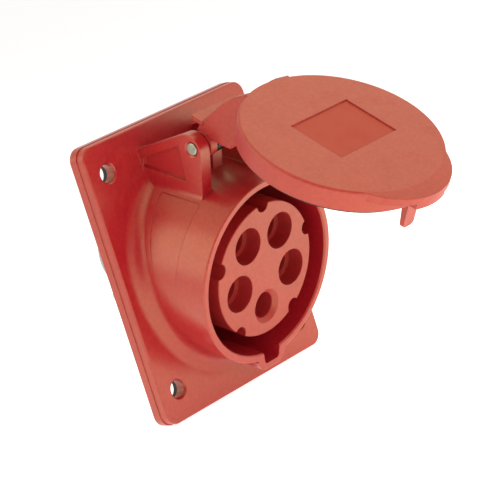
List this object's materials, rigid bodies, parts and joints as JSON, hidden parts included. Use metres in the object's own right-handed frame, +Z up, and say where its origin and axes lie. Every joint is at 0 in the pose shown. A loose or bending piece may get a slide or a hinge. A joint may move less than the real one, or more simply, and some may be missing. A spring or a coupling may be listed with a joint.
{
  "type": "angled industrial panel socket",
  "caption": "Red angled panel socket with a square flange, a round shrouded collar facing downwards, pin contacts in an insert, and a hinged round lid.",
  "frame": {"origin": "middle of the flange's back face, which meets the panel; the fixing holes lie evenly round it", "axes": "+Y into the panel, +X to the right seen from the front, +Z up; the socket faces -Y and 20 degrees down"},
  "size_m": [0.077, 0.1378, 0.0973],
  "materials": {
    "red_plastic": "satin",
    "insert_plastic": "satin",
    "grey_plastic": "satin",
    "rubber": "matte",
    "brass": "satin",
    "steel": "satin",
    "pin_steel": "satin"
  },
  "bodies": {
    "socket": {"panel_housing": "red_plastic", "flange_gasket": "rubber", "contact_insert": "insert_plastic", "insert_seal": "rubber", "terminal_housing": "grey_plastic", "contact_l1": "brass", "contact_l2": "brass", "contact_l3": "brass", "contact_neutral": "brass", "contact_earth": "brass", "phase_contact_clips": "steel", "earth_contact_clip": "steel", "terminal_screws": "steel", "terminal_plates": "steel", "carrier_screws": "steel", "carrier_washers": "steel", "hinge_pin": "pin_steel", "lid_spring": "steel"},
    "cover": {"lid": "red_plastic", "lid_seal": "rubber"}
  },
  "joints": [
    {"name": "lid_hinge", "type": "hinge", "parent": "socket", "child": "cover", "pos_m": [0, -0.03013, 0.03676], "axis": [-1, 0, 0], "range_deg": [-73.6, 36.3], "deforming": ["lid_spring"]}
  ]
}
